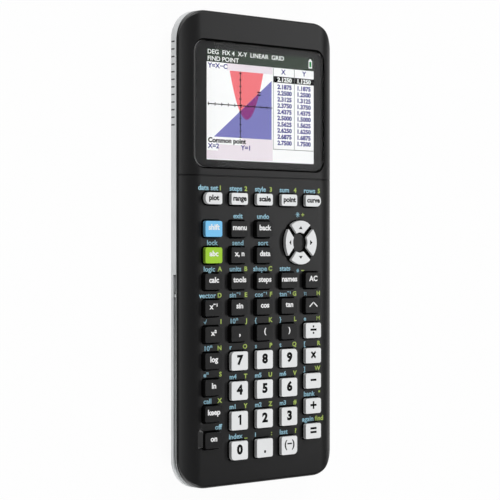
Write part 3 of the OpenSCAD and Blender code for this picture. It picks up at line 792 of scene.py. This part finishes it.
def strokes(at, lines, top):
    """Thin bars about a place, as a list of parts."""
    parts = []
    for x0, y0, x1, y1, width in lines:
        start, end = np.array([(x0, y0), (x1, y1)]) + at
        run = (end - start) / np.linalg.norm(end - start)
        side = width / 2 * np.array([-run[1], run[0]])
        outline = np.array([start - side, end - side, end + side, start + side])
        parts.append(loft([(outline, top - PRINT_T), (outline, top)]))
    return parts


def label(text, at, align):
    """Print on the case, as a list of one part."""
    height, bold = (WORD_H, WORD_BOLD) if len(text) > 2 else (LABEL_H, LABEL_BOLD)
    return [lettering(text, height, at, FACE + PRINT_T, align, LABEL_WIDE, bold)]


def make_key(name):
    """One key and its print; returns its labels on the case as (blue, green)."""
    middle, size, radii = key_plan(name)
    material, slot, ink = key_look(name)
    cap = rounded_rect(middle, size, radii)
    flange = rounded_rect(middle, size + 2 * (KEY_GAP + FLANGE_GRIP), [FLANGE_R] * 4)
    make_cap(name, cap, flange, middle, material)
    text, second, letter = LEGENDS[name]
    if name in SIGNS:
        legend(name, strokes(middle + (0, SIGN_LIFT), SIGNS[name], KEY_TOP), ink)
    else:
        height, lift, wide, bold = legend_size(name)
        legend(name, [lettering(text, height, middle + (0, lift), KEY_TOP, wide=wide, bold=bold)], ink)
    line = middle[1] + size[1] / 2 + KEY_GAP + LABEL_GAP + LABEL_H / 2
    lean = WORD_LEAN if len(letter) > 1 else LABEL_LEAN
    left, right = middle[0] - size[0] / 2 + LABEL_START, middle[0] + size[0] / 2 + lean
    blue = label(second, (left, line), "LEFT") if second else []
    green = label(letter, (right, line), "RIGHT") if letter else []
    if name in CENTRED:
        blue = label(second, (middle[0] + LABEL_LEAN / 2, line + CENTRED[name]), "CENTER")
    if name == "on":
        blue = label(second, (right, line), "RIGHT")
    if blue and green:
        over = blue[0][0][:, 0].max() + LABEL_BETWEEN - green[0][0][:, 0].min()
        blue[0][0][:, 0] -= max(over, 0)
    return blue, green


def dished(part, way):
    """Part of an arrow key that points some way, its top sloped down towards the hub."""
    points, faces = part
    in_from_rim = (PAD_R - (points[:, :2] - PAD_AT) @ way) / (PAD_R - PAD_HUB_R)
    raised = np.clip((points[:, 2] - FACE) / (KEY_TOP - FACE), 0, 1)
    sunk = points.copy()
    sunk[:, 2] -= PAD_DISH * in_from_rim * raised
    return sunk, faces


def make_arrow(quarter):
    """One arrow key with its mark."""
    name = ARROWS[quarter]
    cap = arrow_outline(PAD_R, PAD_HUB_R, PAD_BAR / 2, PAD_CORNER_R, quarter)
    grip_bar = PAD_BAR / 2 - PAD_BAR_GRIP
    flange = arrow_outline(PAD_R + PAD_GRIP, PAD_HUB_R - PAD_GRIP, grip_bar, PAD_CORNER_R, quarter)
    turn = np.array(Matrix.Rotation(math.pi / 2 * quarter, 2))
    way = turn[:, 0]
    stem_at = PAD_AT + ((PAD_R + PAD_HUB_R) / 2 + PAD_STEM_OUT) * way
    make_cap(name, cap, flange, stem_at, KEY_WHITE, lambda part: dished(part, way))
    mark = [(MARK_NEAR, -MARK_HALF_W), (MARK_FAR, 0), (MARK_NEAR, MARK_HALF_W)] @ turn.T + PAD_AT
    legend(name, [dished(loft([(mark, KEY_TOP - PRINT_T), (mark, KEY_TOP)]), way)], PRINT_BLACK)


def make_keys():
    """All keys, and the openings that they need in the front."""
    openings, blue, green = [], [], []
    for name in KEYS:
        labels = make_key(name)
        blue += labels[0]
        green += labels[1]
        middle, size, radii = key_plan(name)
        openings.append(rounded_rect(middle, size + 2 * KEY_GAP, [r + KEY_GAP for r in radii]))
    for quarter in range(4):
        make_arrow(quarter)
    for line, reach, sign in STARS:
        diagonal = reach / math.sqrt(2)
        star = [(-reach, 0, reach, 0), (0, -reach, 0, reach),
                (-diagonal, -diagonal, diagonal, diagonal), (-diagonal, diagonal, diagonal, -diagonal)]
        star_at = PAD_AT[0] - STAR_LEFT, line
        blue += strokes(star_at, [(*ends, STAR_W) for ends in star], FACE + PRINT_T)
        green += label(sign, (PAD_AT[0] + STAR_SIGN_RIGHT, line), "CENTER")
    make_piece("label_blue", blue, PRINT_BLUE, sharp=60)
    make_piece("label_green", green, PRINT_GREEN, sharp=60)
    return openings


# Display

def on_glass(dots):
    """Places on the display's glass from dots counted from its top left."""
    share = np.array(dots, float) / DOTS
    return PICTURE_AT + (share - 0.5) * np.array([1, -1]) * PICTURE_SIZE


# Layers of the picture, counted from 0 at the bottom, and its lettering, in millimetres
INK_T = 0.012
INK_GAP = 0.004
SCREEN_H, ROW_TEXT_H, STATUS_TEXT_H = 1.85, 1.7, 1.75
SCREEN_BOLD, ROW_BOLD, STATUS_BOLD, NOTE_BOLD = 0.07, 0.1, 0.03, 0.11
SCREEN_WIDE = 1.24
TEXT_LEVEL = 5


def ink_layer(level):
    """(bottom, top) of a layer of the picture."""
    low = LCD_HIGH[2] + INK_GAP + level * (INK_T + INK_GAP)
    return low, low + INK_T


def patch(dots, level):
    """Flat patch of the picture from its corners, anticlockwise as seen."""
    low, high = ink_layer(level)
    outline = on_glass(dots)
    return loft([(outline, low), (outline, high)])


def bar(left, top, right, bottom, level):
    return patch([(left, bottom), (right, bottom), (right, top), (left, top)], level)


# Places in the picture, in dots from its top left
SPILL = 1.5
GRAPH_RIGHT, GRAPH_TOP, GRAPH_BOTTOM, NOTES_BOTTOM = 193.2, 44.5, 190, 238
STATUS_H = 28.8
AXIS, AXIS_HALF, TICK_HALF = (97, 119.5), 1.1, 3.6
AXIS_ENDS = 3, GRAPH_RIGHT - 1
TICKS_ACROSS, TICKS_DOWN = range(5, 195, 19), range(49, 190, 14)
CURVE_AT, CURVE_RATE = (115.6, 149.2), 0.0427
CURVE_POINTS, OVERLAP_POINTS, TRIED_POINTS = 33, 17, 400
LINE_FROM, LINE_TO = (21, 190), (190, 59.3)
CURSOR, CURSOR_HALF, CURSOR_ROWS = (152, 90), (5.5, 1.5), (-3, 3)
TABLE_LEFT, TABLE_MIDDLE, TABLE_BOTTOM, TABLE_LINE = 194.6, 258.8, 210, 1.2
ROW_TOP, ROW_FIRST_H, ROW_GAP, ROW_H, ROWS, ROW_START = 47.6, 14, 2.2, 13.9, 11, 1.5
NUMBERS_LEFT, FIRST_VALUE, VALUE_STEP, VALUE_LAG = (TABLE_LEFT + 13, TABLE_MIDDLE + 8), 2.125, 0.0625, 1
# Paper behind the notes on the graph, and the battery sign with its charge, as left, top, right, bottom
PAPERS = (0, STATUS_H, 58, GRAPH_TOP), (0, GRAPH_BOTTOM, 102, 206), (0, 206, 32, 220)
CELL, CELL_CHARGE = [(304, 5, 315, 23), (307, 2, 312, 5)], (306.6, 8, 312.4, 20.5)
# Lines of print and where each starts
HEADINGS = ("X", (219.5, 37)), ("Y", (284.5, 37))
NOTES = ("Y=X−C", (4, 36.5)), ("X=2", (4, 210)), ("Y=1", (99, 211))
STATUS = ("DEG  FIX 4  X-Y  LINEAR  GRID", (2, 6.8)), ("FIND POINT", (2, 21.3))
RESULT = "Common point", (4, 197.3)


def curve_y(x):
    return CURVE_AT[1] - CURVE_RATE * (x - CURVE_AT[0]) ** 2


def line_y(x):
    return np.interp(x, *zip(LINE_FROM, LINE_TO))


def graph_parts():
    """Filled curve, half plane and their overlap."""
    half = math.sqrt((CURVE_AT[1] - GRAPH_TOP) / CURVE_RATE)
    across = np.linspace(CURVE_AT[0] - half, CURVE_AT[0] + half, CURVE_POINTS)
    curve = patch([(x, curve_y(x)) for x in across], 1)
    plane = patch([LINE_FROM, (LINE_TO[0], LINE_FROM[1]), LINE_TO], 2)
    tried = np.linspace(CURVE_AT[0] - half, LINE_TO[0], TRIED_POINTS)
    inside = [x for x in tried if curve_y(x) > line_y(x)]
    both = np.linspace(inside[0], inside[-1], OVERLAP_POINTS)
    overlap = patch([(x, curve_y(x)) for x in both], 3)
    return curve, plane, overlap


def axis_parts():
    """Axes with their ticks, and the cursor."""
    x0, y0 = AXIS
    thick, tick = AXIS_HALF, TICK_HALF
    parts = [bar(x0 - thick, GRAPH_TOP, x0 + thick, GRAPH_BOTTOM, 4),
             bar(AXIS_ENDS[0], y0 - thick, AXIS_ENDS[1], y0 + thick, 4)]
    parts += [bar(x - thick, y0 - tick, x + thick, y0 + tick, 4) for x in TICKS_ACROSS]
    parts += [bar(x0 - tick, y - thick, x0 + tick, y + thick, 4) for y in TICKS_DOWN]
    (x, y), (wide, high) = CURSOR, CURSOR_HALF
    return parts + [bar(x - wide, y + row - high, x + wide, y + row + high, 5) for row in CURSOR_ROWS]


def screen_text(text, dots, height=SCREEN_H, bold=SCREEN_BOLD):
    """Print on the display that starts at some dots."""
    return lettering(text, height, on_glass(dots), ink_layer(TEXT_LEVEL)[1], "LEFT", SCREEN_WIDE, bold)


def table_parts():
    """Frame of the table and its rows of numbers: (lines, navy print, black row, print on it)."""
    frame_lines = [bar(x, STATUS_H, x + TABLE_LINE, TABLE_BOTTOM, 4) for x in (TABLE_LEFT, TABLE_MIDDLE)]
    frame_lines.append(bar(TABLE_LEFT, TABLE_BOTTOM, DOTS[0], TABLE_BOTTOM + TABLE_LINE, 4))
    chosen = [bar(left + ROW_START, ROW_TOP, right, ROW_TOP + ROW_FIRST_H, 3)
              for left, right in ((TABLE_LEFT, TABLE_MIDDLE), (TABLE_MIDDLE, DOTS[0]))]
    navy = [screen_text(*line) for line in HEADINGS]
    pale = []
    for row in range(ROWS):
        value = FIRST_VALUE + VALUE_STEP * row
        line = ROW_TOP + ROW_FIRST_H / 2 + row * ROW_H + (ROW_GAP if row else 0)
        print_on = navy if row else pale
        for number, left in zip((value, value - VALUE_LAG), NUMBERS_LEFT):
            print_on.append(screen_text(f"{number:.4f}", (left, line), ROW_TEXT_H, ROW_BOLD))
    return frame_lines, navy, chosen, pale


def make_picture():
    """All that the display shows, a piece for each colour."""
    curve, plane, overlap = graph_parts()
    frame_lines, navy, chosen, pale = table_parts()
    navy += [screen_text(*line) for line in NOTES]
    pale += [screen_text(*line, STATUS_TEXT_H, STATUS_BOLD) for line in STATUS]
    black = axis_parts() + chosen + [screen_text(*RESULT, bold=NOTE_BOLD)]
    strips = [bar(0, top, GRAPH_RIGHT, bottom, 1)
              for top, bottom in ((STATUS_H, GRAPH_TOP), (GRAPH_BOTTOM, NOTES_BOTTOM))]
    cell = [bar(*sides, 2) for sides in CELL]
    colours = {
        "white": ([bar(-SPILL, -SPILL, *(DOTS + SPILL), 0)], (250, 250, 250)),
        "status": ([bar(-SPILL, -SPILL, DOTS[0] + SPILL, STATUS_H, 1)], (56, 66, 57)),
        "strip": (strips, (234, 224, 231)),
        "paper": ([bar(*sides, 2) for sides in PAPERS], (250, 250, 250)),
        "red": ([curve], (240, 118, 124)),
        "blue": ([plane], (122, 122, 186)),
        "overlap": ([overlap], (136, 54, 126)),
        "black": (black, (3, 3, 4)),
        "lines": (frame_lines, (86, 86, 82)),
        "navy": (navy, (26, 16, 128)),
        "pale": (pale + cell, (244, 246, 244)),
        "charge": ([bar(*CELL_CHARGE, 3)], (14, 132, 66)),
    }
    for name, (parts, colour) in colours.items():
        material = lit_pixels("screen_" + name, srgb(*colour))
        make_piece("screen_" + name, parts, material, sharp=60)


def ring_solid(outer, inner, low, high):
    """Closed band between two outlines of as many points."""
    return loft([(outer, low), (outer, high), (inner, high), (inner, low)], band=True)


def make_window():
    """Clear plate over the display, with a black border on its back and a frosted grey edge, whose grey
    is partly a painted highlight of the plate's bevel.
    """
    count = 12
    low = WINDOW_LOW[2]
    plate = rounded_rect(WINDOW_AT, WINDOW_SIZE, [WINDOW_R] * 4, count)
    clear = rounded_top((inset(plate, EDGE_BAND), plate[1]), low, FACE, WINDOW_EDGE)
    make_piece("window_plate", [loft(clear)], WINDOW_CLEAR,
               stands_for=["display_window"])
    picture = rounded_rect(PICTURE_AT + BORDER_SHIFT, PICTURE_SIZE, [BORDER_R] * 4, count)[0]
    border = ring_solid(inset(plate, 2 * EDGE_BAND), picture, low + BORDER_T, low + 2 * BORDER_T)
    make_piece("window_border", [border], MASK_BLACK, sharp=30)
    edge = ring_solid(plate[0], inset(plate, EDGE_BAND), FACE - EDGE_FOOT, FACE - EDGE_TOP)
    # The edge's top, inner side and bottom are painted shade
    inside = GAP_SHADE, range(len(plate[0]), len(edge[1]))
    make_piece("window_edge", [edge], EDGE_FROST_AND_HIGHLIGHT, sharp=30, second=inside)


# Painted shade in the rear grooves

def rear_side(inset):
    """Line down the rolled side of the rear, drawn in by inset: from the grooves' top as (x, z)."""
    high = PARTING - REAR_SIDE_H - FOOT_H
    run = REAR_ROLL_W - REAR_EDGE_R
    large = (run ** 2 + high ** 2 - REAR_EDGE_R ** 2) / (2 * (high - REAR_EDGE_R))
    meet = math.degrees(math.asin(run / (large - REAR_EDGE_R)))
    small_turn = arc((HALF_W - REAR_EDGE_R, FOOT_H + high), REAR_EDGE_R - inset, 0, meet - 90, count=7)[0]
    ends = [meet - 90 - turn for turn in GRIP_TURNS]
    large_turn = arc((HALF_W - REAR_ROLL_W, FOOT_H + large), large - inset, *ends, count=4)[0]
    return np.concatenate([[(HALF_W - inset, PARTING - GRIP_TOP)], small_turn, large_turn])


def paint_grip_shade():
    """Dark strips of painted shade down in the grooves of both sides."""
    outline = np.concatenate([rear_side(GRIP_SHADE[0])[::-1], rear_side(GRIP_SHADE[1])])
    half = GRIP_W / 2 - GRIP_FIT
    parts = []
    for i in range(GRIP_COUNT):
        y = GRIP_Y + i * GRIP_PITCH
        points, faces = loft([(outline, y - half), (outline, y + half)])
        points = points[:, [0, 2, 1]]
        parts += [(points, [face[::-1] for face in faces]), (points * (-1, 1, 1), faces)]
    make_piece("grip_shade", parts, GRIP_PAINTED_SHADE, sharp=30)


# Parts carried over from the frame

FINISHES = {
    "rear_case": CASE_SILVER,
    "battery_door": CASE_SILVER,
    "case_screws": plastic("screw_steel", (0.42, 0.42, 0.43), 0.3, grain=0.15, metallic=1.0),
    "io_sockets": plastic("socket_steel", (0.55, 0.55, 0.56), 0.25, grain=0.2, metallic=1.0),
    "lcd_module": plastic("lcd_frame", (0.05, 0.05, 0.055), 0.35),
    "key_membrane": plastic("silicone", (0.12, 0.12, 0.125), 0.6, grain=0.4),
    "circuit_board": plastic("board_green", (0.01, 0.09, 0.035), 0.35, grain=0.6, mottle=0.2),
    "battery": plastic("battery_wrap", (0.03, 0.05, 0.12), 0.3, grain=0.5),
}


def dress_frame():
    """Each CAD part that stays keeps its shape and gets a finished material."""
    for name, material in FINISHES.items():
        mesh = frame["nodes"][name].data
        mesh.materials.clear()
        mesh.materials.append(material)


# Stage, light and camera

def make_floor():
    """White floor that keeps a faint shadow."""
    mesh = bpy.data.meshes.new("floor")
    mesh.from_pydata([(*corner, 0) for corner in FLOOR_HALF * CORNERS], [], [(0, 1, 2, 3)])
    floor = new_object("floor", mesh)
    material, nodes, links, shader, _ = new_material("floor_white")
    white = [FLOOR_WHITE] * 3 + [1]
    set_inputs(shader, {"Base Color": white, "Roughness": 0.9, "Specular IOR Level": 0})
    glow = nodes.new("ShaderNodeEmission")
    path = nodes.new("ShaderNodeLightPath")
    seen = path.outputs["Is Camera Ray"]
    for kind in ("Is Glossy Ray", "Is Transmission Ray"):
        add = nodes.new("ShaderNodeMath")
        add.operation = "MAXIMUM"
        links.new(seen, add.inputs[0])
        links.new(path.outputs[kind], add.inputs[1])
        seen = add.outputs[0]
    mix = nodes.new("ShaderNodeMixShader")
    links.new(map_range(nodes, links, seen, (0, 1), (0, FLOOR_GLOW)), mix.inputs["Fac"])
    links.new(shader.outputs["BSDF"], mix.inputs[1])
    links.new(glow.outputs["Emission"], mix.inputs[2])
    links.new(mix.outputs["Shader"], nodes["Material Output"].inputs["Surface"])
    mesh.materials.append(material)


def make_world():
    """Studio surround: pale towards the horizon on the left, dim on the right and overhead."""
    world = bpy.data.worlds.new("studio")
    bpy.context.scene.world = world
    world.use_nodes = True
    nodes, links = world.node_tree.nodes, world.node_tree.links
    place = nodes.new("ShaderNodeTexCoord").outputs["Generated"]
    split = nodes.new("ShaderNodeSeparateXYZ")
    links.new(place, split.inputs[0])
    ramp = nodes.new("ShaderNodeValToRGB")
    for element, at, level in zip(ramp.color_ramp.elements, SKY_HEIGHTS, SKY_LEVELS):
        element.position = at
        element.color = (level, level, level, 1)
    links.new(split.outputs["Z"], ramp.inputs["Fac"])
    links.new(ramp.outputs["Color"], nodes["Background"].inputs["Color"])
    strength = map_range(nodes, links, split.outputs["X"], SKY_SIDES, SKY_STRENGTHS)
    links.new(strength, nodes["Background"].inputs["Strength"])


def soft_light(name, at, size, power):
    """Lamp that faces the middle of the case, its place and size in metres."""
    lamp = bpy.data.lights.new(name, "AREA")
    lamp.shape = "RECTANGLE"
    lamp.size, lamp.size_y = size
    lamp.energy = power
    holder = new_object(name, lamp)
    back = Vector(at).normalized()
    across = Vector((0, 1, 0)).cross(back).normalized()
    turn = Matrix((across, back.cross(across), back)).transposed()
    holder.matrix_world = Matrix.Translation(at) @ turn.to_4x4()


def make_camera():
    """Camera at the photograph's place, its picture's height along the case."""
    data = bpy.data.cameras.new("camera")
    data.lens, data.sensor_width = LENS, SENSOR
    data.clip_start, data.clip_end = CLIP
    camera = new_object("camera", data)
    sine, cosine = math.sin(VIEW_TILT), math.cos(VIEW_TILT)
    place = (-VIEW_DISTANCE * sine - VIEW_ASIDE * cosine, VIEW_ALONG,
             VIEW_DISTANCE * cosine - VIEW_ASIDE * sine + FACE)
    turn = Matrix(((cosine, 0, -sine), (0, 1, 0), (sine, 0, cosine)))
    camera.matrix_world = Matrix.Translation([p * MM for p in place]) @ turn.to_4x4()
    bpy.context.scene.camera = camera


make_camera()
front_shell(make_keys())
make_picture()
make_window()
paint_grip_shade()
dress_frame()
make_floor()
make_world()
for lamp_name, lamp in LAMPS.items():
    soft_light(lamp_name, *lamp)
bpy.context.scene.view_settings.view_transform = "Standard"
